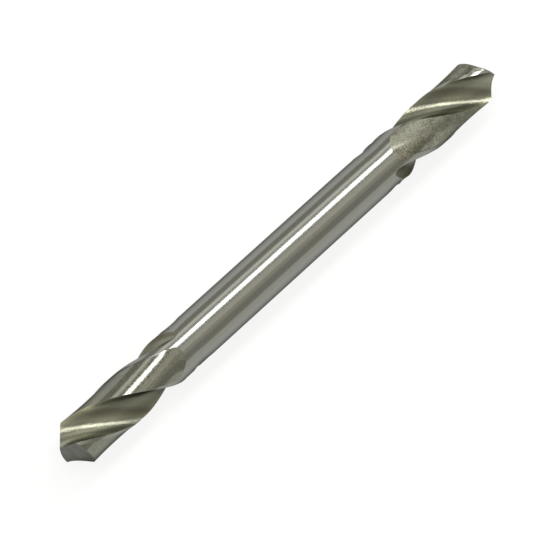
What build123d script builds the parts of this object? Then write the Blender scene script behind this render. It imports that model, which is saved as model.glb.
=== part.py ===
"""Double-ended drill bit: one round steel shank with a two-flute right-hand twist drill at each end.

Millimetres. The axis lies along X, the origin is the middle of the bit on its axis and +Z is up.
Each end is worked out in its own frame: its point at the top of +Z, one of its cutting lips along +X.
"""
import os
from math import acos, cos, degrees, pi, radians, sin, sqrt, tan

from build123d import (Align, Axis, Box, Face, Line, Location, Plane, Polyline, Pos, Rot, Solid,
                       ThreePointArc, Vector, Wire, export_step, revolve)

# The whole bit
OVERALL_LENGTH = 62.0        # tip to tip
CUTTING_DIAMETER = 5.2       # over the margins
SHANK_DIAMETER = 5.1         # plain middle that the chuck grips
SHANK_BLEND = 2.35           # length over which one diameter goes to the other

# Flutes
FLUTE_LENGTH_A = 16.65       # at the -X end, tip to the last of the flute
FLUTE_LENGTH_B = 16.45       # at the +X end
CLOCK_A = -13.0              # turn of the -X end about the axis, degrees
CLOCK_B = -11.0              # turn of the +X end about the axis, degrees
HELIX_ANGLE = 28.5           # right-hand, at the cutting diameter
WEB_THICKNESS = 2.2          # metal left between the two flutes
FLUTE_RADIUS = 2.55          # round bottom of the flute, the rim of the wheel that grinds it
FLUTE_MIDDLE = 77.4          # where the flute is deepest, degrees from the lip
FLUTE_RUN_OUT = 9.15         # length over which the flute climbs out of the shank
RUN_OUT_DIRECTION = 55.0     # way the flute climbs out, degrees from the lip

# Lands
MARGIN_WIDTH = 0.4           # full-diameter strip behind each leading edge
CLEARANCE_DEPTH = 0.14       # how far the rest of the land lies below the margin
CLEARANCE_SET_BACK_A = 1.0   # the relieved land ends this much before the flute does, -X end
CLEARANCE_SET_BACK_B = 1.1   # the same at the +X end
CLEARANCE_END_DEPTH = 0.03   # what is left of that depth where the relieved land ends
CLEARANCE_RAMP = 0.5         # length over which the depth goes down to that
CLEARANCE_FLATNESS = 1.15    # radius of the relieved land over the cutting radius
CLEARANCE_CENTRE = 45.0      # deepest part of the relieved land, degrees behind the leading edge
CLEARANCE_END_FLATNESS = 3.0  # the flatness where the relieved land ends
CLEARANCE_END_CENTRE_A = 16.0  # its deepest part there, -X end
CLEARANCE_END_CENTRE_B = 7.0  # its deepest part there, +X end
CLEARANCE_RISE = 2.4         # length over which the relieved land goes from one to the other
CLEARANCE_SPREAD = 25.0      # how far its cutter opens past the margin there, degrees
CLEARANCE_OVER_HEEL = 8.0    # how far its cutter passes the heel, degrees

# Point
POINT_ANGLE = 118.0          # between the two lips
LIP_OFFSET = 0.675           # how far the line of each lip passes the axis
LIP_RELIEF = 10.0            # slope of the flank behind the lip
FLANK_CONE_ANGLE = 35.0      # half angle of the cone each flank is ground to
FLANK_CONE_OFFSET = 5.2      # apex of that cone beyond the axis

RADIUS = CUTTING_DIAMETER / 2
SHANK_RADIUS = SHANK_DIAMETER / 2
HALF_WEB = WEB_THICKNESS / 2
HALF_POINT = radians(POINT_ANGLE / 2)
TWIST = tan(radians(HELIX_ANGLE)) / RADIUS
FLUTE_CENTRE = HALF_WEB + FLUTE_RADIUS
HALF_OPENING = acos((RADIUS ** 2 + FLUTE_CENTRE ** 2 - FLUTE_RADIUS ** 2) / (2 * RADIUS * FLUTE_CENTRE))
LEADING_ANGLE = radians(FLUTE_MIDDLE) - HALF_OPENING
HEEL_ANGLE = radians(FLUTE_MIDDLE) + HALF_OPENING
CLEAR = 1.0                  # how far the cutters pass what they cut
SECTION_TURN = 12.0          # twist from one section of a cutter to the next, degrees
RISE_STEPS = 7               # sections over the clearance's rise
RISE_CROWDING = 1.5          # how much closer they stand toward its end


def turned(x, y, angle):
    """A point turned about the end's axis."""
    return (x * cos(angle) - y * sin(angle), x * sin(angle) + y * cos(angle))


def flute_lift(depth, flute_length):
    """How far the wheel has climbed out at a depth below the tip. It leaves the shank at the flute's end."""
    aside = radians(FLUTE_MIDDLE - RUN_OUT_DIRECTION)
    climb = (sqrt((SHANK_RADIUS + FLUTE_RADIUS) ** 2 - (FLUTE_CENTRE * sin(aside)) ** 2)
             - FLUTE_CENTRE * cos(aside))
    into = max(0.0, depth - (flute_length - FLUTE_RUN_OUT))
    return climb * (into / FLUTE_RUN_OUT) ** 2


def flute_section(level, lift):
    """Outline across the bit of what the wheel takes out: its rim's arc, closed well outside the bar."""
    reach = RADIUS + CLEAR
    turn = acos((FLUTE_CENTRE ** 2 + FLUTE_RADIUS ** 2 - reach ** 2) / (2 * FLUTE_CENTRE * FLUTE_RADIUS))
    middle, way = radians(FLUTE_MIDDLE), radians(RUN_OUT_DIRECTION)
    spots = []
    for part in (-turn, 0, turn, pi):
        x, y = turned(FLUTE_CENTRE - FLUTE_RADIUS * cos(part), FLUTE_RADIUS * sin(part), middle)
        spots.append(turned(x + lift * cos(way), y + lift * sin(way), TWIST * level) + (level,))
    start, bottom, end, far = spots
    return Wire([ThreePointArc(start, bottom, end), Line(end, far), Line(far, start)])


def flute_cutter(flute_length, top):
    """Solid that cuts one flute, from above the tip down to where it has left the shank."""
    wires = []
    count = round(degrees(TWIST * flute_length) / SECTION_TURN)
    for i in range(count + 1):
        level = top + CLEAR - (CLEAR + flute_length + CLEAR / 2) * i / count
        wires.append(flute_section(level, flute_lift(top - level, flute_length)))
    return Solid.make_loft(wires)


def clearance_section(level, depth_cut, flatness, centre_back, backs):
    """Outline across the bit of what is ground off one land behind its margin."""
    centre_angle = LEADING_ANGLE - centre_back
    arc_radius = flatness * RADIUS
    offset = arc_radius - (RADIUS - depth_cut)
    middle = (backs[0] + backs[1]) / 2
    inner = []
    for back in (backs[0], middle, backs[1]):
        angle = LEADING_ANGLE - back
        swing = angle - centre_angle
        reach = sqrt(arc_radius ** 2 - (offset * sin(swing)) ** 2) - offset * cos(swing)
        inner.append(turned(reach * cos(angle), reach * sin(angle), TWIST * level) + (level,))
    far = RADIUS + CLEAR
    outer = []
    for back in (backs[1], middle, backs[0]):
        angle = LEADING_ANGLE - back
        outer.append(turned(far * cos(angle), far * sin(angle), TWIST * level) + (level,))
    edges = [ThreePointArc(*inner), Line(inner[2], outer[0]), Line(outer[0], outer[1])]
    edges += [Line(outer[1], outer[2]), Line(outer[2], inner[0])]
    return Wire(edges)


def clearance_levels(end, top):
    """Heights of the sections: evenly down to where the shape starts to change, then ever closer."""
    levels = []
    count = round(degrees(TWIST * (end - CLEARANCE_RISE)) / SECTION_TURN)
    for i in range(count):
        levels.append(top + CLEAR - (CLEAR + end - CLEARANCE_RISE) * i / count)
    for i in range(RISE_STEPS + 1):
        left = (1 - i / RISE_STEPS) ** RISE_CROWDING
        levels.append(top - end + CLEARANCE_RISE * left)
    return levels


def clearance_cutter(end, end_centre, top):
    """Solid that relieves one land behind its margin and runs out at the depth end, before the flute."""
    margin_back = MARGIN_WIDTH / RADIUS
    heel_back = LEADING_ANGLE - (HEEL_ANGLE - pi) + radians(CLEARANCE_OVER_HEEL)
    wires = []
    for level in clearance_levels(end, top):
        left = end + level - top
        near_end = max(0.0, 1 - left / CLEARANCE_RISE) ** 2
        shallow = max(0.0, 1 - left / CLEARANCE_RAMP) ** 2
        depth_cut = CLEARANCE_DEPTH + (CLEARANCE_END_DEPTH - CLEARANCE_DEPTH) * shallow
        flatness = 1 / (1 / CLEARANCE_FLATNESS
                        + (1 / CLEARANCE_END_FLATNESS - 1 / CLEARANCE_FLATNESS) * near_end)
        centre = radians(CLEARANCE_CENTRE + (end_centre - CLEARANCE_CENTRE) * near_end)
        opened = radians(CLEARANCE_SPREAD) * near_end
        backs = (margin_back - opened, heel_back - opened)
        wires.append(clearance_section(level, depth_cut, flatness, centre, backs))
    return Solid.make_loft(wires)


def flank_cone():
    """Apex and axis of the cone that one flank is ground to; the lip is one of its straight lines."""
    relief = radians(LIP_RELIEF)
    spread = radians(FLANK_CONE_ANGLE)
    lip = Vector(sin(HALF_POINT), 0, -cos(HALF_POINT))
    normal = Vector(cos(HALF_POINT) * cos(relief), -sin(relief), sin(HALF_POINT) * cos(relief))
    apex = Vector(-FLANK_CONE_OFFSET, LIP_OFFSET, FLANK_CONE_OFFSET / tan(HALF_POINT))
    return apex, lip * cos(spread) - normal * sin(spread)


def tip_height():
    """Height of the chisel edge on the axis, above where the lips' lines would meet it."""
    apex, way = flank_cone()
    square = cos(radians(FLANK_CONE_ANGLE)) ** 2
    across = -apex.X * way.X - apex.Y * way.Y
    a = way.Z ** 2 - square
    b = 2 * way.Z * across
    c = across ** 2 - square * (apex.X ** 2 + apex.Y ** 2)
    root = sqrt(b * b - 4 * a * c)
    return apex.Z + min((-b + root) / (2 * a), (-b - root) / (2 * a))


def point_cutter():
    """What the two flanks take off above the lips."""
    apex, way = flank_cone()
    reach = RADIUS + CLEAR
    height = 2 * (FLANK_CONE_OFFSET + reach)
    cone = Solid.make_cone(0, height * tan(radians(FLANK_CONE_ANGLE)), height,
                           plane=Plane(origin=apex, z_dir=way))
    block = Box(2 * reach, 2 * reach, 2 * reach, align=(Align.CENTER, Align.CENTER, Align.MIN))
    block = Pos(0, 0, -reach) * block
    return block - (cone & (Rot(0, 0, 180) * cone))


def end_cutters(flute_length, set_back, end_centre):
    """Everything cut from one end, in that end's frame."""
    top = tip_height()
    cuts = []
    clearance = clearance_cutter(flute_length - set_back, end_centre, top)
    for cutter in (flute_cutter(flute_length, top), clearance):
        cuts += [cutter, cutter.rotate(Axis.Z, 180)]
    cuts.append(point_cutter())
    return top, cuts


def blank():
    """The round bar before cutting: full diameter along the flutes, shank diameter between them."""
    half = OVERALL_LENGTH / 2
    left, right = FLUTE_LENGTH_A - half, half - FLUTE_LENGTH_B
    line = Polyline((-half, 0), (-half, RADIUS), (left - SHANK_BLEND, RADIUS), (left, SHANK_RADIUS),
                    (right, SHANK_RADIUS), (right + SHANK_BLEND, RADIUS), (half, RADIUS), (half, 0),
                    (-half, 0))
    return revolve(Face(Wire(line.edges())), Axis.X)


def drill_bit():
    body = blank()
    ends = ((FLUTE_LENGTH_A, CLEARANCE_SET_BACK_A, CLEARANCE_END_CENTRE_A, CLOCK_A, -1),
            (FLUTE_LENGTH_B, CLEARANCE_SET_BACK_B, CLEARANCE_END_CENTRE_B, CLOCK_B, 1))
    for flute_length, set_back, end_centre, clock, facing in ends:
        top, cuts = end_cutters(flute_length, set_back, end_centre)
        seat = Plane(origin=(facing * (OVERALL_LENGTH / 2 - top), 0, 0), x_dir=(0, 0, 1),
                     z_dir=(facing, 0, 0))
        place = Location(seat) * Rot(0, 0, clock)
        for cut in cuts:
            body = body - place * cut
    return body


os.makedirs("parts", exist_ok=True)
solid = drill_bit().solids()[0]
export_step(solid, "parts/drill_bit.step")
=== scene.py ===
"""Looks for a double-ended drill bit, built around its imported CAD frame. Blender 4.5, metres.

The bit lies on the floor along X. Its surfaces are worked out in millimetres, each end in a frame
of its own: the point at the top of +z, the first lip along +x, and the section at height z turned
by twist * z from the section at the lip.
"""

from collections import namedtuple

import bmesh
import bpy
import numpy as np
from mathutils import Matrix, Vector


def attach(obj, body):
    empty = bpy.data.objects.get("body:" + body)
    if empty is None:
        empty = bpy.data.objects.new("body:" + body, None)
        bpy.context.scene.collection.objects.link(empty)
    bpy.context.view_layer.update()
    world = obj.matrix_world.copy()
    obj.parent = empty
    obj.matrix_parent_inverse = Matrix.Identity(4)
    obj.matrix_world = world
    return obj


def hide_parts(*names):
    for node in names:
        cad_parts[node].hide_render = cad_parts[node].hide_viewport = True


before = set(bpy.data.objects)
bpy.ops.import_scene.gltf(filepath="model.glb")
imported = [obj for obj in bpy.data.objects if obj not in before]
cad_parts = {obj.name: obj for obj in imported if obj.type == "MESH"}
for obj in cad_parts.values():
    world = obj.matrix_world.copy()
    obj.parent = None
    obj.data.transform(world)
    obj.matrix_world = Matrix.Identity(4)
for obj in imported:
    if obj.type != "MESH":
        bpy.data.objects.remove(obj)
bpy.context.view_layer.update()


# Flutes. Two spiral grooves at each end carry the chips away. A shaped wheel grinds them into the
# hardened bar in one pass, from the tip to where it climbs out, so its scratches run along them.

CUTTING_RADIUS = 2.6
SHANK_RADIUS = 2.55
SHANK_BLEND = 2.35
HALF_WEB = 1.1
RIM_RADIUS = 2.55
RIM_CENTRE = HALF_WEB + RIM_RADIUS
FLUTE_MIDDLE = np.radians(77.4)
TWIST = np.tan(np.radians(28.5)) / CUTTING_RADIUS
RUN_OUT = 9.15
RUN_OUT_WAY = np.radians(55.0)
WALL_TURN = np.radians(66.0)
WALL_SAMPLES = 4001
END_SEARCH = -3.0, 2.0
HALVINGS = 45

# The climb brings the rim's circle, moved the run-out's way, to touch the shank's from outside.
CLIMB = np.sqrt(
    (SHANK_RADIUS + RIM_RADIUS) ** 2 - (RIM_CENTRE * np.sin(FLUTE_MIDDLE - RUN_OUT_WAY)) ** 2
) - RIM_CENTRE * np.cos(FLUTE_MIDDLE - RUN_OUT_WAY)

# The leading edge is where the rim's circle crosses the bar's, by the law of cosines.
LEADING_ANGLE = FLUTE_MIDDLE - np.arccos(
    (CUTTING_RADIUS**2 + RIM_CENTRE**2 - RIM_RADIUS**2) / (2.0 * CUTTING_RADIUS * RIM_CENTRE)
)


def body_radius(depth, flute_length):
    """Radius of the bar at a depth below the tip, full along the flutes.

    It goes down to the shank's in a straight line over the blend before the flute's end.
    """
    eased = np.clip(1.0 - (flute_length - depth) / SHANK_BLEND, 0.0, 1.0)
    return CUTTING_RADIUS + (SHANK_RADIUS - CUTTING_RADIUS) * eased


def flute_wall(share, depth, flute_length):
    """Radius and angle of a flute's wall, share 0 outside its leading edge to 1 outside its heel.

    Across the bit it is the arc of the wheel's rim, centre at web / 2 + rim radius from the axis.
    Over the run-out the arc is lifted by climb * (into / run-out)^2, as a wheel leaves the bar.
    """
    turn = WALL_TURN * (2.0 * share - 1.0)
    deep = RIM_CENTRE - RIM_RADIUS * np.cos(turn)
    side = RIM_RADIUS * np.sin(turn)
    into = np.maximum(depth - (flute_length - RUN_OUT), 0.0)
    lift = CLIMB * (into / RUN_OUT) ** 2
    x = deep * np.cos(FLUTE_MIDDLE) - side * np.sin(FLUTE_MIDDLE) + lift * np.cos(RUN_OUT_WAY)
    y = deep * np.sin(FLUTE_MIDDLE) + side * np.cos(FLUTE_MIDDLE) + lift * np.sin(RUN_OUT_WAY)
    return np.hypot(x, y), np.arctan2(y, x)


def flute_end(flute_length):
    """Depth at which the lifted wall last touches the bar, by halving, and its share there."""
    share = np.linspace(0.0, 1.0, WALL_SAMPLES)
    low, high = flute_length + END_SEARCH[0], flute_length + END_SEARCH[1]
    for _ in range(HALVINGS):
        middle = 0.5 * (low + high)
        wall = flute_wall(share, middle, flute_length)[0]
        touching = (wall < body_radius(middle, flute_length)).any()
        low, high = (middle, high) if touching else (low, middle)
    return low, share[np.argmin(flute_wall(share, low, flute_length)[0])]


# Lands. Between the flutes the bar keeps a narrow polished margin behind each cutting edge, and the
# rest is ground a little lower so that it doesn't rub. That relief runs out just before the flute.

MARGIN = 0.4
RELIEF = 0.14
RELIEF_END = 0.03
RELIEF_RAMP = 0.5
RELIEF_FLATNESS = 1.15
RELIEF_END_FLATNESS = 3.0
RELIEF_CENTRE = np.radians(45.0)
RELIEF_RISE = 2.4
RELIEF_SPREAD = np.radians(25.0)
LIMIT_SAMPLES = 2001
LEAST_ANGLE = 0.01
TOUCHING = 1e-6

# How an end is ground: the length of its flutes, how far before their end the relief stops, and
# the angle behind the leading edge at which it stops.
Grind = namedtuple("Grind", "flute_length set_back end_centre")


def relief_arc(depth, end, end_centre):
    """A relieved land's arc: its radius, its offset, its deepest angle and where its cutter opens.

    The radius is the bar's times the flatness, and the offset leaves the cut at the deepest angle.
    Angles count back from the leading edge. All of it, the flatness as its inverse, blends to its
    end values by the square of how far into the rise it is, and the cut likewise over the ramp.
    """
    left = np.maximum(end - depth, 0.0)
    near = np.clip(1.0 - left / RELIEF_RISE, 0.0, 1.0) ** 2
    shallow = np.clip(1.0 - left / RELIEF_RAMP, 0.0, 1.0) ** 2
    cut = RELIEF + (RELIEF_END - RELIEF) * shallow
    flat = 1.0 / RELIEF_FLATNESS
    flat = flat + (1.0 / RELIEF_END_FLATNESS - flat) * near
    arc = CUTTING_RADIUS / flat
    centre = RELIEF_CENTRE + (end_centre - RELIEF_CENTRE) * near
    return arc, arc - (CUTTING_RADIUS - cut), centre, MARGIN / CUTTING_RADIUS - RELIEF_SPREAD * near


def land_radius(back, depth, grind):
    """Radius of the relieved land at an angle behind its leading edge.

    It is where a line from the axis meets the relief's arc, sqrt(arc^2 - (offset * sin(swing))^2)
    - offset * cos(swing), with the swing from the deepest angle, and never outside the bar.
    """
    body = body_radius(depth, grind.flute_length)
    end = grind.flute_length - grind.set_back
    arc, offset, centre, _ = relief_arc(depth, end, grind.end_centre)
    swing = back - centre
    aside = offset * np.sin(swing)
    reach = np.sqrt(np.maximum(arc**2 - aside**2, 0.0)) - offset * np.cos(swing)
    return np.where(depth > end, body, np.minimum(reach, body))


def flute_limits(depth, grind):
    """Shares of the flute's wall at its leading edge and at its heel, for a column of depths.

    The wall is followed both ways from its lowest place to where it leaves the bar, on one side,
    and the relieved land, on the other. Between two samples the crossing is a straight line's.
    """
    share = np.linspace(0.0, 1.0, LIMIT_SAMPLES)[None, :]
    radius, angle = flute_wall(share, depth, grind.flute_length)
    above_bar = radius - body_radius(depth, grind.flute_length)
    above_land = radius - land_radius(LEADING_ANGLE + np.pi - angle, depth, grind)
    lowest = np.argmin(above_bar, axis=1)[:, None]
    index = np.arange(share.shape[1])[None, :]
    rows = np.arange(len(depth))
    before = np.where((above_bar > 0.0) & (index < lowest), index, 0).max(axis=1)
    after = np.where((above_land > 0.0) & (index > lowest), index, index.max()).min(axis=1)

    def crossing(values, low):
        """Share between samples low and low + 1 at which values pass through 0."""
        a, b = values[rows, low], values[rows, low + 1]
        part = np.clip(a / np.where(a == b, 1.0, a - b), 0.0, 1.0)
        return ((low + part) * share[0, 1])[:, None]

    return crossing(above_bar, before), crossing(above_land, after - 1)


RAKE_COLUMNS, HEEL_COLUMNS = 26, 26
PLAIN_COLUMNS, RELIEF_COLUMNS, MARGIN_COLUMNS = 4, 30, 4
FLUTE_COLUMNS = RAKE_COLUMNS + HEEL_COLUMNS
HALF_COLUMNS = FLUTE_COLUMNS + PLAIN_COLUMNS + RELIEF_COLUMNS + 1 + MARGIN_COLUMNS


def half_section(depth, grind, corner, end):
    """Radius and angle of half the outline, one row for each depth, in the end's turning frame.

    Columns go round with the angle: the flute from leading edge to heel with its web corner at a
    fixed column, the bar's own surface behind the heel, the relieved land, the step up to the
    margin, and the margin to the next leading edge. Past the flute's end its columns are closed.
    """
    end_depth, end_share = end
    depth = np.atleast_1d(depth)[:, None]
    body = body_radius(depth, grind.flute_length)
    lead, heel = flute_limits(depth, grind)
    past = depth >= end_depth
    lead, heel = np.where(past, end_share, lead), np.where(past, end_share, heel)
    rake = np.linspace(0.0, 1.0, RAKE_COLUMNS + 1) * corner
    rise = corner + (1.0 - corner) * np.linspace(0.0, 1.0, HEEL_COLUMNS + 1)[1:]
    share = lead + (heel - lead) * np.concatenate([rake, rise])[None, :]
    flute_r, flute_a = flute_wall(share, np.minimum(depth, end_depth), grind.flute_length)
    flute_r = np.where(past, body, np.minimum(flute_r, body))
    behind_heel = LEADING_ANGLE + np.pi - flute_a[:, -1:]
    behind_lead = LEADING_ANGLE - flute_a[:, :1]

    # The law of cosines gives how far either side of its centre the relief's arc meets the bar.
    relief_end = grind.flute_length - grind.set_back
    arc, offset, centre, opened = relief_arc(depth, relief_end, grind.end_centre)
    cosine = (arc**2 - body**2 - offset**2) / (2.0 * body * offset)
    half = np.arccos(np.clip(cosine, -1.0, 1.0))
    front = np.maximum(np.maximum(opened, centre - half), behind_lead + LEAST_ANGLE)
    rear = np.maximum(np.minimum(centre + half, behind_heel), front + LEAST_ANGLE)

    def span(first, last, columns):
        """Angles from first to last in equal steps."""
        return first + (last - first) * np.linspace(0.0, 1.0, columns + 1)[None, :]

    plain = span(behind_heel, rear, PLAIN_COLUMNS)[:, 1:-1]
    relieved = span(rear, front, RELIEF_COLUMNS)
    margin = span(front, behind_lead, MARGIN_COLUMNS)[:, :-1]
    at_heel = land_radius(behind_heel, depth, grind)
    plain_r = np.where(rear < behind_heel - TOUCHING, body, at_heel)
    parts = [
        flute_r,
        np.broadcast_to(plain_r, plain.shape),
        land_radius(relieved, depth, grind),
        np.broadcast_to(body, margin.shape),
    ]
    behind = np.concatenate([plain, relieved, margin], axis=1)
    angle = np.concatenate([flute_a, LEADING_ANGLE + np.pi - behind], axis=1)
    return np.concatenate(parts, axis=1), angle


# Points. Each tip has two cutting lips at 118 degrees and a curved flank behind each, ground as two
# cones half a turn apart. They meet in the short chisel edge across the web.

HALF_POINT = np.radians(59.0)
LIP_OFFSET = 0.675
LIP_RELIEF = np.radians(10.0)
FLANK_SPREAD = np.radians(35.0)
FLANK_OFFSET = 5.2
CHISEL_REACH = 0.4
COMMON_DEPTH = 5.0
TIP_SEARCH = -6.0, 0.5


def flank_height(x, y):
    """Height over (x, y) of one flank, a cone that touches the first lip along one of its lines.

    The cone's surface is where the way v from its apex makes the spread angle with its axis a,
    (v . a)^2 = cos^2(spread) * |v|^2, solved as a quadratic for the height; the lower root.
    """
    lip = np.array([np.sin(HALF_POINT), 0.0, -np.cos(HALF_POINT)])
    level, slope = np.sin(LIP_RELIEF), np.cos(LIP_RELIEF)
    out = np.array([np.cos(HALF_POINT) * slope, -level, np.sin(HALF_POINT) * slope])
    axis = lip * np.cos(FLANK_SPREAD) - out * np.sin(FLANK_SPREAD)
    across, along = x + FLANK_OFFSET, y - LIP_OFFSET
    square = np.cos(FLANK_SPREAD) ** 2
    flat = across * axis[0] + along * axis[1]
    a = axis[2] ** 2 - square
    b = 2.0 * axis[2] * flat
    c = flat**2 - square * (across**2 + along**2)
    root = np.sqrt(np.maximum(b * b - 4.0 * a * c, 0.0))
    lower = np.minimum((-b + root) / (2.0 * a), (-b - root) / (2.0 * a))
    return FLANK_OFFSET / np.tan(HALF_POINT) + lower


def point_height(x, y):
    """Height of the point: the lower of the two flanks, one being the other half a turn round."""
    return np.minimum(flank_height(x, y), flank_height(-x, -y))


TOP = float(flank_height(np.zeros(1), np.zeros(1))[0])


def tip_level(radius, angle):
    """Height at which a line of the turning outline comes out through the point, by halving."""
    low, high = (np.full(radius.shape, TOP + reach) for reach in TIP_SEARCH)
    for _ in range(HALVINGS):
        middle = 0.5 * (low + high)
        x, y = radius * np.cos(angle + TWIST * middle), radius * np.sin(angle + TWIST * middle)
        inside = middle < point_height(x, y)
        low, high = np.where(inside, middle, low), np.where(inside, high, middle)
    return 0.5 * (low + high)


def web_corner(grind):
    """Part of the way across the flute, leading edge to heel, at which the chisel edge meets it."""
    depth = np.full((1, 1), COMMON_DEPTH)
    lead, heel = flute_limits(depth, grind)
    part = np.linspace(0.0, 1.0, WALL_SAMPLES)[None, :]
    radius, angle = flute_wall(lead + (heel - lead) * part, depth, grind.flute_length)
    level = tip_level(radius, angle)
    x, y = radius * np.cos(angle + TWIST * level), radius * np.sin(angle + TWIST * level)
    second = flank_height(x, y) > flank_height(-x, -y)
    return part[0, np.argmax(second[0])]


def flank_patch(tip_x, tip_y):
    """Points over one flank, chisel edge to outside by lip to heel, and their way from the lip.

    A Coons patch: the straight blends of the two facing pairs of edges, added, less the blend of
    the four corners. The chisel edge is the line from corner to corner, moved sideways to where
    both flanks are equally high. Heights are the flank's own, and the way is 0 to 1.
    """
    inner = RAKE_COLUMNS
    outline = np.stack([tip_x, tip_y], axis=1)
    lip = outline[inner::-1]
    land = outline[HALF_COLUMNS + FLUTE_COLUMNS :]
    land = np.concatenate([land, outline[:1]])[::-1]
    heel = outline[HALF_COLUMNS + inner : HALF_COLUMNS + FLUTE_COLUMNS + 1]
    steps = np.linalg.norm(np.diff(land, axis=0), axis=1)
    v = np.append(0.0, np.cumsum(steps)) / steps.sum()
    u = np.linspace(0.0, 1.0, inner + 1)

    line = lip[0] * (1.0 - v[:, None]) + heel[0] * v[:, None]
    along = heel[0] - lip[0]
    side = np.array([-along[1], along[0]]) / np.linalg.norm(along)

    def first_is_higher(moved):
        """Whether the first flank is the higher one on the line moved sideways."""
        x, y = (line + moved[:, None] * side).T
        return flank_height(x, y) > flank_height(-x, -y)

    low, high = np.full(len(v), -CHISEL_REACH), np.full(len(v), CHISEL_REACH)
    on_low_side = first_is_higher(low)
    for _ in range(HALVINGS):
        middle = 0.5 * (low + high)
        same = first_is_higher(middle) == on_low_side
        low, high = np.where(same, middle, low), np.where(same, high, middle)
    chisel = line + (0.5 * (low + high))[:, None] * side
    chisel[0], chisel[-1] = lip[0], heel[0]

    u, v = u[:, None, None], v[None, :, None]
    spots = (1.0 - v) * lip[:, None] + v * heel[:, None] + (1.0 - u) * chisel[None] + u * land[None]
    lip_ends = (1.0 - u) * lip[0] + u * lip[-1]
    heel_ends = (1.0 - u) * heel[0] + u * heel[-1]
    corners = (1.0 - v) * lip_ends + v * heel_ends
    x, y = np.moveaxis(spots - corners, -1, 0)
    return x, y, point_height(x, y), np.broadcast_to(v[..., 0], x.shape)


# The bit itself. Tips, flutes, lands and the plain shank between them are one piece of hardened
# high-speed steel, turned from bar and ground all over. Only the grinding differs, so an end's own
# steels are those of the bar's surface, its flutes, its lands, its flanks and behind its heels.

LENGTH = 62.0
MM = 0.001
BAR, FLUTE, LAND, FLANK, HEEL_STRIP = range(5)
SHANK_STEEL, LEFT_FLUTE, LEFT_LAND, POINT_STEEL, RIGHT_FLUTE, RIGHT_LAND = range(6)
ENDS = {
    "left": dict(
        grind=Grind(flute_length=16.65, set_back=1.0, end_centre=np.radians(16.0)),
        clock=np.radians(-13.0),
        facing=-1.0,
        own=(SHANK_STEEL, LEFT_FLUTE, LEFT_LAND, POINT_STEEL, SHANK_STEEL),
    ),
    "right": dict(
        grind=Grind(flute_length=16.45, set_back=1.1, end_centre=np.radians(7.0)),
        clock=np.radians(-11.0),
        facing=1.0,
        own=(SHANK_STEEL, RIGHT_FLUTE, RIGHT_LAND, POINT_STEEL, RIGHT_LAND),
    ),
}

# Over this last part of a flute the strip behind its heel is as smooth as the bar.
HEEL_POLISH = 4.6

# The grid's rows in each zone from the tip to the middle of the shank, and how they close up.
TIP_ROWS, FLUTE_ROWS, NEAR_ROWS, RUN_ROWS, SHANK_ROWS = 26, 62, 18, 18, 44
TIP_POWER, NEAR_POWER, RUN_POWER, SHANK_POWER = 1.3, 1.6, 2, 1.5
NEAR_END = 0.8
JUST_PAST = 0.004
EASING_LENGTH = 3.5
FLANK_LENGTH = 3.0
SAME_PLACE = 1e-6
NO_LENGTH = 1e-7
SHARP_ANGLE = np.radians(16.0)


def bar_rows(grind, end_depth):
    """Depths of the sections below the tip zone, even at first.

    They close up towards the relief's end, and past it towards the flute's end, by powers of what
    is left of the way there.
    """
    relief_end = grind.flute_length - grind.set_back
    even = np.linspace(COMMON_DEPTH, relief_end - NEAR_END, FLUTE_ROWS)
    near = relief_end - NEAR_END * (1.0 - np.linspace(0.0, 1.0, NEAR_ROWS)[1:]) ** NEAR_POWER
    start = relief_end + JUST_PAST
    left = (1.0 - np.linspace(0.0, 1.0, RUN_ROWS)) ** RUN_POWER
    run = start + (end_depth - start) * (1.0 - left)
    return np.concatenate([even, near, run])


def end_grid(grind, clock):
    """All points of one end out to the middle of the bit as x, y and z, tip row first.

    In the tip zone each column runs straight down its turning line from the point's surface to the
    common depth. Beyond the flute the columns turn to even steps round the plain shank, by share^2
    * (3 - 2 * share) over the easing length.
    """
    end = flute_end(grind.flute_length)
    corner = web_corner(grind)
    radius, angle = half_section(np.array([COMMON_DEPTH]), grind, corner, end)
    radius, angle = np.tile(radius[0], 2), np.concatenate([angle[0], angle[0] + np.pi])
    tip = tip_level(radius, angle)
    part = np.linspace(0.0, 1.0, TIP_ROWS)[:-1, None] ** TIP_POWER
    tip_z = tip + (TOP - COMMON_DEPTH - tip) * part
    depth = bar_rows(grind, end[0])
    bar_r, bar_a = half_section(depth, grind, corner, end)
    bar_r, bar_a = np.tile(bar_r, (1, 2)), np.concatenate([bar_a, bar_a + np.pi], axis=1)
    z = np.concatenate([tip_z, np.broadcast_to(TOP - depth[:, None], bar_r.shape)])
    r = np.concatenate([np.broadcast_to(radius, tip_z.shape), bar_r])
    a = np.concatenate([np.broadcast_to(angle, tip_z.shape), bar_a]) + TWIST * z + clock

    columns = 2 * HALF_COLUMNS
    even = 2.0 * np.pi * np.arange(columns) / columns
    steps_on = np.round(np.mean(a[-1] - even) * columns / (2.0 * np.pi))
    even = even + steps_on * 2.0 * np.pi / columns
    part = np.linspace(0.0, 1.0, SHANK_ROWS)[1:, None] ** SHANK_POWER
    shank_depth = end[0] + (LENGTH / 2.0 - end[0]) * part
    ease = np.clip((shank_depth - end[0]) / EASING_LENGTH, 0.0, 1.0)
    ease = ease * ease * (3.0 - 2.0 * ease)
    a = np.concatenate([a, a[-1] + (even - a[-1]) * ease])
    shank_r = body_radius(shank_depth, grind.flute_length)
    r = np.concatenate([r, np.broadcast_to(shank_r, (SHANK_ROWS - 1, columns))])
    z = np.concatenate([z, np.broadcast_to(TOP - shank_depth, (SHANK_ROWS - 1, columns))])
    return r * np.cos(a), r * np.sin(a), z


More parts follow.
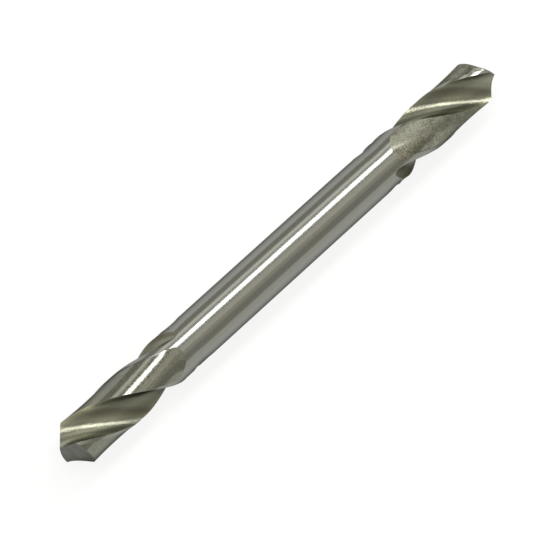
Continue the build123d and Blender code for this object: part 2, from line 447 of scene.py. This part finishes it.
def kinds_of_columns():
    """What each column of faces round the bit is part of, as an index into an end's own steels."""
    half = np.full(HALF_COLUMNS, BAR)
    half[:FLUTE_COLUMNS] = FLUTE
    land = FLUTE_COLUMNS + PLAIN_COLUMNS
    half[FLUTE_COLUMNS:land] = HEEL_STRIP
    half[land : land + RELIEF_COLUMNS] = LAND
    return np.tile(half, 2)


def build_end(grind, clock, facing, own):
    """One end's vertices in metres, its quads, their corners' UV, and each quad's steel.

    Clock turns the end about its axis, and facing is the way along X that it points, with +x of its
    own frame upwards. The UV is in mm, across by along. Across counts with the columns, with 0 at
    the web's corner in a flute and at the next leading edge on a land. Along counts from the tip.
    """
    x, y, z = end_grid(grind, clock)
    rows, columns = x.shape
    number = np.arange(rows * columns).reshape(rows, columns)
    after = np.roll(number, -1, axis=1)
    quads = np.stack([number[:-1], number[1:], after[1:], after[:-1]], axis=-1)

    step = np.hypot(np.roll(x, -1, axis=1) - x, np.roll(y, -1, axis=1) - y)
    run = np.concatenate([np.zeros((rows, 1)), np.cumsum(step, axis=1)], axis=1)
    column = np.arange(columns)
    half = column // HALF_COLUMNS * HALF_COLUMNS
    from_column = half + np.where(column - half < FLUTE_COLUMNS, RAKE_COLUMNS, HALF_COLUMNS)
    across = run[:, :-1] - run[:, from_column]
    across_next = run[:, 1:] - run[:, from_column]
    along = TOP - z
    u = np.stack([across[:-1], across[1:], across_next[1:], across_next[:-1]], axis=-1)
    along_next = np.roll(along, -1, axis=1)
    v = np.stack([along[:-1], along[1:], along_next[1:], along_next[:-1]], axis=-1)

    kind = np.broadcast_to(kinds_of_columns(), (rows - 1, columns)).copy()
    middle = 0.5 * (along[:-1] + along[1:])
    kind[(kind == FLUTE) & (middle > flute_end(grind.flute_length)[0])] = BAR
    kind[(kind == LAND) & (middle > grind.flute_length - grind.set_back)] = BAR
    kind[(kind == HEEL_STRIP) & (middle > grind.flute_length - HEEL_POLISH)] = BAR

    points = [np.stack([x, y, z], axis=-1).reshape(-1, 3)]
    quads, kinds = [quads.reshape(-1, 4)], [kind.reshape(-1)]
    uv = [np.stack([u, v], axis=-1).reshape(-1, 4, 2)]
    turn = np.cos(clock), np.sin(clock)
    tip_x, tip_y = x[0] * turn[0] + y[0] * turn[1], y[0] * turn[0] - x[0] * turn[1]
    flank_x, flank_y, flank_z, flank_way = flank_patch(tip_x, tip_y)
    count = np.arange(flank_x.size).reshape(flank_x.shape)
    faces = np.stack([count[:-1, :-1], count[:-1, 1:], count[1:, 1:], count[1:, :-1]], axis=-1)
    faces = faces.reshape(-1, 4)
    flank_uv = np.stack([np.hypot(flank_x, flank_y), flank_way * FLANK_LENGTH], axis=-1)
    flank_uv = flank_uv.reshape(-1, 2)[faces]
    for side in (1.0, -1.0):
        base = sum(len(group) for group in points)
        turned_x = side * (flank_x * turn[0] - flank_y * turn[1])
        turned_y = side * (flank_x * turn[1] + flank_y * turn[0])
        points.append(np.stack([turned_x, turned_y, flank_z], axis=-1).reshape(-1, 3))
        quads.append(faces + base)
        uv.append(flank_uv)
        kinds.append(np.full(len(faces), FLANK))
    points = np.concatenate(points)
    seat = facing * (LENGTH / 2.0 - TOP)
    world = np.stack([seat + facing * points[:, 2], -facing * points[:, 1], points[:, 0]], axis=1)
    steel_of_quads = np.array(own)[np.concatenate(kinds)]
    return world * MM, np.concatenate(quads), np.concatenate(uv), steel_of_quads


def make_bit():
    """The mesh of the whole bit: both ends, meeting at the middle of the shank."""
    points, quads, uv, steel_of_quads, base = [], [], [], [], 0
    for values in ENDS.values():
        end_points, end_quads, end_uv, end_steel = build_end(**values)
        points.append(end_points)
        quads.append(end_quads + base)
        uv.append(end_uv)
        steel_of_quads.append(end_steel)
        base += len(end_points)
    points, quads = np.concatenate(points), np.concatenate(quads)
    mesh = bpy.data.meshes.new("drill_bit_ground")
    mesh.vertices.add(len(points))
    mesh.vertices.foreach_set("co", points.astype(np.float32).ravel())
    mesh.loops.add(quads.size)
    mesh.loops.foreach_set("vertex_index", quads.ravel().astype(np.int32))
    mesh.polygons.add(len(quads))
    mesh.polygons.foreach_set("loop_start", np.arange(0, quads.size, 4, dtype=np.int32))
    steel_of_quads = np.concatenate(steel_of_quads).astype(np.int32)
    mesh.polygons.foreach_set("material_index", steel_of_quads)
    layer = mesh.uv_layers.new(name="along_the_cut")
    layer.data.foreach_set("uv", np.concatenate(uv).astype(np.float32).ravel())
    mesh.update(calc_edges=True)
    mesh.validate(clean_customdata=False)
    return mesh


def close_seams(mesh):
    """Merges the points that columns, ends and flanks share, and drops what that closes up."""
    work = bmesh.new()
    work.from_mesh(mesh)
    bmesh.ops.remove_doubles(work, verts=work.verts, dist=SAME_PLACE)
    bmesh.ops.dissolve_degenerate(work, edges=work.edges, dist=NO_LENGTH)
    work.to_mesh(mesh)
    work.free()


def read(values, name, width, kind):
    """One value of all items of a mesh's collection, as an array of rows."""
    array = np.empty((len(values), width), kind)
    values.foreach_get(name, array.ravel())
    return array if width > 1 else array[:, 0]


def set_normals(mesh):
    """Sharp edges by angle and where two steels meet, and a true round for the bar's own surface.

    Its faces get the way straight out from the axis at each corner, (0, y, z) / |(0, y, z)|.
    """
    mesh.shade_smooth()
    mesh.set_sharp_from_angle(angle=SHARP_ANGLE)
    edge = read(mesh.loops, "edge_index", 1, np.int32)
    own = read(mesh.polygons, "material_index", 1, np.int32)
    own = np.repeat(own, read(mesh.polygons, "loop_total", 1, np.int32))
    lowest, highest = np.full(len(mesh.edges), own.max()), np.zeros(len(mesh.edges), int)
    np.minimum.at(lowest, edge, own)
    np.maximum.at(highest, edge, own)
    sharp = read(mesh.edges, "use_edge_sharp", 1, bool) | (lowest != highest)
    mesh.edges.foreach_set("use_edge_sharp", sharp)
    normals = read(mesh.corner_normals, "vector", 3, np.float32)
    points = read(mesh.vertices, "co", 3, np.float32)
    out = points[read(mesh.loops, "vertex_index", 1, np.int32)] * np.array([0.0, 1.0, 1.0])
    out = out / np.maximum(np.linalg.norm(out, axis=1, keepdims=True), NO_LENGTH)
    round_bar = own[:, None] == SHANK_STEEL
    mesh.normals_split_custom_set(np.where(round_bar, out, normals).tolist())


bit_mesh = make_bit()
close_seams(bit_mesh)
set_normals(bit_mesh)
bit = bpy.data.objects.new("drill_bit_ground", bit_mesh)
bpy.context.scene.collection.objects.link(bit)
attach(bit, "root")
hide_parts("drill_bit")


# Steel. All of it is the same bare grey steel. The shank was ground round on a fine wheel and the
# flutes along their length on a coarser one. The flutes' steel is yellower, and painted light and
# shade make it lighter by both its edges and at the tip, and darker away from the tip. The relieved
# lands are gritty, and those of the right-hand end dull and dappled by the heel, where painted
# shade also darkens them.

SCRATCH_DEPTH = 0.00002
GRIT_DEPTH = 0.00002
DAPPLE_GAIN, DAPPLE_START = 4.0, -1.5
EDGE_TINT = (0.28, 0.28, 0.28)
CURVE_TOP = 4.0
DULL_FILM = 0.15
SHANK_GREYS = (0.256, 0.26, 0.238), (0.295, 0.3, 0.274)
FLUTE_GREYS = (0.15, 0.168, 0.13), (0.285, 0.268, 0.2)
LAND_GREYS = (0.195, 0.199, 0.17), (0.262, 0.264, 0.22)
COARSE_GREYS = (0.148, 0.152, 0.122), (0.35, 0.349, 0.28)
POINT_GREYS = (0.06, 0.075, 0.06), (0.23, 0.225, 0.2)

# Pairs of a distance in mm and a value there, across a flute or a land, or along a flute. The
# flutes' values and the land's brightness are painted light and shade that multiply the colour;
# the land's dullness multiplies its roughness.
# Painted light and shade across a flute: lighter by its leading edge and its heel, darker between.
FLUTE_PAINTED_SHADING_ACROSS = (
    (-1.65, 2.2), (-1.4, 1.1), (-0.9, 0.9), (0.2, 1.15), (1.35, 0.85), (1.8, 1.2), (2.3, 3.0)
)
# Painted light and shade along a flute: lighter at the tip, darker away from it, most at the
# right-hand run-out.
LEFT_PAINTED_SHADING_ALONG = (
    (0.0, 1.35), (2.0, 1.05), (5.0, 0.85), (8.0, 0.66), (11.0, 0.66), (14.0, 0.8), (17.0, 0.9)
)
RIGHT_PAINTED_SHADING_ALONG = (
    (0.0, 1.3), (2.0, 0.9), (5.0, 0.75), (8.0, 0.72), (11.0, 0.8), (14.0, 0.5), (17.0, 0.42)
)
# Painted shade across the right-hand land, darkest by the heel. The dullness below multiplies the
# roughness.
LAND_PAINTED_SHADE = (-4.4, 0.82), (-3.5, 0.85), (-2.6, 0.9), (-1.9, 0.92), (-1.2, 0.92), (-0.4, 0.92)
LAND_DULL = (-4.4, 1.0), (-3.5, 1.0), (-2.6, 1.0), (-1.9, 0.36), (-1.2, 0.32), (-0.4, 0.32)


def node(tree, kind, **settings):
    """A new node. Settings that it has itself are set on it, the others on the inputs they name."""
    made = tree.nodes.new(kind)
    for name, value in settings.items():
        if hasattr(made, name):
            setattr(made, name, value)
        else:
            made.inputs[name.replace("_", " ").title()].default_value = value
    return made


def new_group(name, inputs, outputs):
    """A node group with the named sockets; gives its tree and its input and output nodes."""
    tree = bpy.data.node_groups.new(name, "ShaderNodeTree")
    for socket, kind in inputs.items():
        tree.interface.new_socket(socket, in_out="INPUT", socket_type="NodeSocket" + kind)
    for socket, kind in outputs.items():
        tree.interface.new_socket(socket, in_out="OUTPUT", socket_type="NodeSocket" + kind)
    return tree, tree.nodes.new("NodeGroupInput"), tree.nodes.new("NodeGroupOutput")


def math(tree, operation, *values, clamp=False):
    """The output of a Math node on sockets or numbers."""
    made = node(tree, "ShaderNodeMath", operation=operation, use_clamp=clamp)
    for socket, value in zip(made.inputs, values):
        if isinstance(value, bpy.types.NodeSocket):
            tree.links.new(value, socket)
        else:
            socket.default_value = value
    return made.outputs["Value"]


def two_noises(tree, vector, first, second, share):
    """Two noise textures on one vector, added as share * first + (1 - share) * second."""
    first = node(tree, "ShaderNodeTexNoise", **first)
    second = node(tree, "ShaderNodeTexNoise", **second)
    tree.links.new(vector, first.inputs["Vector"])
    tree.links.new(vector, second.inputs["Vector"])
    rest = math(tree, "MULTIPLY", second.outputs["Fac"], 1.0 - share)
    return math(tree, "MULTIPLY_ADD", first.outputs["Fac"], share, rest)


def bump_normal(tree, height, depth, distance):
    """The normal of a bump of the given height in metres, its strength from a socket."""
    bump = node(tree, "ShaderNodeBump", distance=distance)
    tree.links.new(depth, bump.inputs["Strength"])
    tree.links.new(height, bump.inputs["Height"])
    return bump.outputs["Normal"]


def scratches_group():
    """Fine lines in two sizes, long the way the vector is squeezed: bump normal and height."""
    tree, taken, given = new_group(
        "scratches", {"Vector": "Vector", "Depth": "Float"}, {"Normal": "Vector", "Height": "Float"}
    )
    fine = dict(scale=1.0, detail=2.0, roughness=0.6)
    coarse = dict(scale=0.31, detail=1.0)
    height = two_noises(tree, taken.outputs["Vector"], fine, coarse, share=0.6)
    normal = bump_normal(tree, height, taken.outputs["Depth"], SCRATCH_DEPTH)
    tree.links.new(normal, given.inputs["Normal"])
    tree.links.new(height, given.inputs["Height"])
    return tree


def grit_group():
    """Dull dapple, small round grains with softer clouds over them: bump normal and mask."""
    tree, taken, given = new_group(
        "grit", {"Vector": "Vector", "Depth": "Float"}, {"Normal": "Vector", "Mask": "Float"}
    )
    grains = dict(scale=6.5, detail=1.5, roughness=0.5)
    clouds = dict(scale=1.2, detail=2.0)
    height = two_noises(tree, taken.outputs["Vector"], grains, clouds, share=0.7)
    normal = bump_normal(tree, height, taken.outputs["Depth"], GRIT_DEPTH)
    tree.links.new(normal, given.inputs["Normal"])
    mask = math(tree, "MULTIPLY_ADD", height, DAPPLE_GAIN, DAPPLE_START, clamp=True)
    tree.links.new(mask, given.inputs["Mask"])
    return tree


SCRATCHES = scratches_group()
GRIT = grit_group()


def steel(name, group, pattern_on, per_mm, depth, colours, roughness):
    """Bare metal with one of the groups on it, as a material.

    The pattern lies on the UV or on the object, with so many lines or grains to a millimetre each
    way. Its second output takes the colour and the roughness from their first to their second.
    """
    material = bpy.data.materials.new(name)
    material.use_nodes = True
    tree = material.node_tree
    shader = tree.nodes["Principled BSDF"]
    shader.inputs["Metallic"].default_value = 1.0
    shader.inputs["Specular Tint"].default_value = (*EDGE_TINT, 1.0)
    place = tree.nodes.new("ShaderNodeTexCoord")
    units = MM if pattern_on == "Object" else 1.0
    sized = node(tree, "ShaderNodeVectorMath", operation="MULTIPLY")
    sized.inputs[1].default_value = [lines / units for lines in per_mm]
    tree.links.new(place.outputs[pattern_on], sized.inputs[0])
    pattern = node(tree, "ShaderNodeGroup", node_tree=group)
    pattern.inputs["Depth"].default_value = depth
    tree.links.new(sized.outputs["Vector"], pattern.inputs["Vector"])
    low_colour, high_colour = ((*colour, 1.0) for colour in colours)
    colour = node(tree, "ShaderNodeMix", data_type="RGBA", a=low_colour, b=high_colour)
    rough = node(tree, "ShaderNodeMapRange", to_min=roughness[0], to_max=roughness[1])
    tree.links.new(pattern.outputs[1], colour.inputs["Factor"])
    tree.links.new(pattern.outputs[1], rough.inputs["Value"])
    tree.links.new(colour.outputs["Result"], shader.inputs["Base Color"])
    tree.links.new(rough.outputs["Result"], shader.inputs["Roughness"])
    tree.links.new(pattern.outputs["Normal"], shader.inputs["Normal"])
    return material


def by_distance(material, way, stops):
    """A socket with a value that changes with the distance one way on the UV, in mm.

    Way is X, across a flute or a land, or Y, along from the tip. The value follows a smooth curve
    through the stops, which are pairs of distance and value. In the node both run from 0 to 1, so
    they are divided by the length and by the curve's top.
    """
    tree = material.node_tree
    place = tree.nodes.new("ShaderNodeSeparateXYZ")
    tree.links.new(tree.nodes["Texture Coordinate"].outputs["UV"], place.inputs["Vector"])
    curve = tree.nodes.new("ShaderNodeFloatCurve")
    points = curve.mapping.curves[0].points
    while len(points) < len(stops):
        points.new(0.5, 0.5)
    first, length = stops[0][0], stops[-1][0] - stops[0][0]
    for point, (distance, value) in zip(points, stops):
        point.location = (distance - first) / length, value / CURVE_TOP
    curve.mapping.update()
    share = math(tree, "MULTIPLY_ADD", place.outputs[way], 1.0 / length, -first / length)
    tree.links.new(share, curve.inputs["Value"])
    return math(tree, "MULTIPLY", curve.outputs["Value"], CURVE_TOP)


def shade(material, way, stops):
    """Multiplies a material's colour by a value that changes with the distance one way: painted
    light and shade.
    """
    tree = material.node_tree
    shader = tree.nodes["Principled BSDF"]
    scaled = node(tree, "ShaderNodeVectorMath", operation="SCALE")
    tree.links.new(shader.inputs["Base Color"].links[0].from_socket, scaled.inputs[0])
    tree.links.new(by_distance(material, way, stops), scaled.inputs["Scale"])
    tree.links.new(scaled.outputs["Vector"], shader.inputs["Base Color"])


def roughen(material, way, stops):
    """Multiplies a material's roughness by a value that changes with the distance one way."""
    tree = material.node_tree
    rough = tree.nodes["Principled BSDF"].inputs["Roughness"]
    scaled = math(tree, "MULTIPLY", rough.links[0].from_socket, by_distance(material, way, stops))
    tree.links.new(scaled, rough)


def fluted_steel(name, along, roughness):
    """A flute's steel: close scratches down it, a thin dull film, and painted light and shade both
    ways.
    """
    material = steel(
        name,
        SCRATCHES,
        pattern_on="UV",
        per_mm=(8.0, 3.5, 1.0),
        depth=1.0,
        colours=FLUTE_GREYS,
        roughness=roughness,
    )
    material.node_tree.nodes["Principled BSDF"].inputs["Metallic"].default_value = 1.0 - DULL_FILM
    # Painted light and shade, across the flute and along it.
    shade(material, "X", FLUTE_PAINTED_SHADING_ACROSS)
    shade(material, "Y", along)
    return material


def coarse_steel():
    """The right-hand lands' steel: dull and dappled by the heel, where painted shade darkens it,
    smoother towards the margin.
    """
    material = steel(
        "right_land",
        GRIT,
        pattern_on="Object",
        per_mm=(1.0, 1.0, 1.0),
        depth=0.9,
        colours=COARSE_GREYS,
        roughness=(0.56, 0.7),
    )
    # Painted shade: darker towards the heel.
    shade(material, "X", LAND_PAINTED_SHADE)
    roughen(material, "X", LAND_DULL)
    return material


ground_shank = steel(
    "ground_shank",
    SCRATCHES,
    pattern_on="Object",
    per_mm=(14.0, 0.6, 0.6),
    depth=0.075,
    colours=SHANK_GREYS,
    roughness=(0.15, 0.22),
)
left_flute = fluted_steel("left_flute", LEFT_PAINTED_SHADING_ALONG, roughness=(0.17, 0.28))
left_land = steel(
    "left_land",
    GRIT,
    pattern_on="Object",
    per_mm=(1.0, 1.0, 1.0),
    depth=0.22,
    colours=LAND_GREYS,
    roughness=(0.12, 0.21),
)
ground_point = steel(
    "ground_point",
    SCRATCHES,
    pattern_on="UV",
    per_mm=(7.0, 0.9, 1.0),
    depth=0.4,
    colours=POINT_GREYS,
    roughness=(0.2, 0.32),
)
right_flute = fluted_steel("right_flute", RIGHT_PAINTED_SHADING_ALONG, roughness=(0.15, 0.25))
right_land = coarse_steel()
for material in (ground_shank, left_flute, left_land, ground_point, right_flute, right_land):
    bit_mesh.materials.append(material)


# Floor. A sheet of white paper, level, which the bit's largest diameter touches. It gives off most
# of its white itself to the camera and in reflections, and the rest is lit, so it keeps a shadow.

HALF_SHEET = 0.6
OWN_WHITE = 0.85
LIT_WHITE = 0.85

sheet = np.array([(-1.0, -1.0), (1.0, -1.0), (1.0, 1.0), (-1.0, 1.0)]) * HALF_SHEET
floor_mesh = bpy.data.meshes.new("floor")
floor_mesh.from_pydata([(x, y, -CUTTING_RADIUS * MM) for x, y in sheet], [], [(0, 1, 2, 3)])
floor = bpy.data.objects.new("floor", floor_mesh)
bpy.context.scene.collection.objects.link(floor)

paper = bpy.data.materials.new("white_paper")
paper.use_nodes = True
paper_tree = paper.node_tree
paper_tree.nodes.clear()
lit = paper_tree.nodes.new("ShaderNodeBsdfDiffuse")
lit.inputs["Color"].default_value = (LIT_WHITE, LIT_WHITE, LIT_WHITE, 1.0)
glow = paper_tree.nodes.new("ShaderNodeEmission")
glow.inputs["Color"].default_value = (1.0, 1.0, 1.0, 1.0)
path = paper_tree.nodes.new("ShaderNodeLightPath")
seen = math(paper_tree, "ADD", path.outputs["Is Camera Ray"], path.outputs["Is Glossy Ray"])
seen = math(paper_tree, "ADD", seen, path.outputs["Is Transmission Ray"], clamp=True)
mixed = paper_tree.nodes.new("ShaderNodeMixShader")
surface = paper_tree.nodes.new("ShaderNodeOutputMaterial")
paper_tree.links.new(math(paper_tree, "MULTIPLY", seen, OWN_WHITE), mixed.inputs["Fac"])
paper_tree.links.new(lit.outputs["BSDF"], mixed.inputs[1])
paper_tree.links.new(glow.outputs["Emission"], mixed.inputs[2])
paper_tree.links.new(mixed.outputs["Shader"], surface.inputs["Surface"])
floor_mesh.materials.append(paper)


# Camera. It looks steeply down from over the left-hand end, and is turned so that the bit runs from
# the lower left to the upper right of the picture. What it aims at is given in the frame's pixels.

TILT = np.radians(18.5)
DISTANCE = 0.3
FOCAL_PIXELS = 2929.5
FRAME_PIXELS = 550.0
NEAREST = 0.01
AIM = -7.07, -18.02
TURN_COSINE, TURN_SINE = 0.74106443, 0.67143393

bit_way = Vector((np.cos(TILT), 0.0, np.sin(TILT)))
side_way = Vector((0.0, -1.0, 0.0))
camera_right = TURN_COSINE * bit_way + TURN_SINE * side_way
camera_up = TURN_SINE * bit_way - TURN_COSINE * side_way
eye = DISTANCE * Vector((-np.sin(TILT), 0.0, np.cos(TILT)))
aim = (AIM[0] * camera_right + AIM[1] * camera_up) * DISTANCE / FOCAL_PIXELS
backwards = (eye - aim).normalized()
camera_right = (camera_right - camera_right.dot(backwards) * backwards).normalized()
camera_up = backwards.cross(camera_right)
camera_data = bpy.data.cameras.new("camera")
camera_data.lens = camera_data.sensor_width * FOCAL_PIXELS / FRAME_PIXELS
camera_data.clip_start = NEAREST
camera = bpy.data.objects.new("camera", camera_data)
pose = Matrix((camera_right, camera_up, backwards)).transposed().to_4x4()
pose.translation = eye
camera.matrix_world = pose
bpy.context.scene.collection.objects.link(camera)
bpy.context.scene.camera = camera


# Lamps. Long soft strips in a grey room, all laid along the bit, so that each shows as a straight
# line in the round shank. The key is narrow and high on the far side. Two beside the camera are
# weak and warm, and make the brownish band below the shank's bright line.

LAMP_DISTANCE = 0.4
ROOM_GREY = (0.49, 0.475, 0.425)


def softbox(name, direction, size, power, colour=(1.0, 1.0, 1.0)):
    """Rectangular lamp that faces the middle of the bit from a direction, its long side along X."""
    data = bpy.data.lights.new(name, "AREA")
    data.color = colour
    data.shape = "RECTANGLE"
    data.size, data.size_y = size
    data.energy = power
    lamp = bpy.data.objects.new(name, data)
    way = Vector(direction).normalized()
    long_side = (Vector((1.0, 0.0, 0.0)) - way.x * way).normalized()
    pose = Matrix((long_side, way.cross(long_side), way)).transposed().to_4x4()
    pose.translation = way * LAMP_DISTANCE
    lamp.matrix_world = pose
    bpy.context.scene.collection.objects.link(lamp)


softbox("key", direction=(0.317, 0.42, 0.85), size=(1.6, 0.085), power=3.6)
softbox("second", direction=(0.2, 0.82, 0.58), size=(1.0, 0.10), power=0.32)
softbox(
    "top", direction=(0.317, -0.065, 0.94), size=(1.6, 0.14), power=0.35, colour=(1.0, 0.96, 0.86)
)
softbox(
    "warm", direction=(0.317, -0.35, 0.88), size=(1.6, 0.15), power=0.17, colour=(1.0, 0.9, 0.7)
)
softbox("card", direction=(0.25, -0.95, 0.22), size=(1.2, 0.18), power=0.3)
room = bpy.data.worlds.new("grey_room")
bpy.context.scene.world = room
room.use_nodes = True
background = room.node_tree.nodes["Background"]
background.inputs["Color"].default_value = (*ROOM_GREY, 1.0)
background.inputs["Strength"].default_value = 1.0

bpy.context.scene.view_settings.view_transform = "Standard"
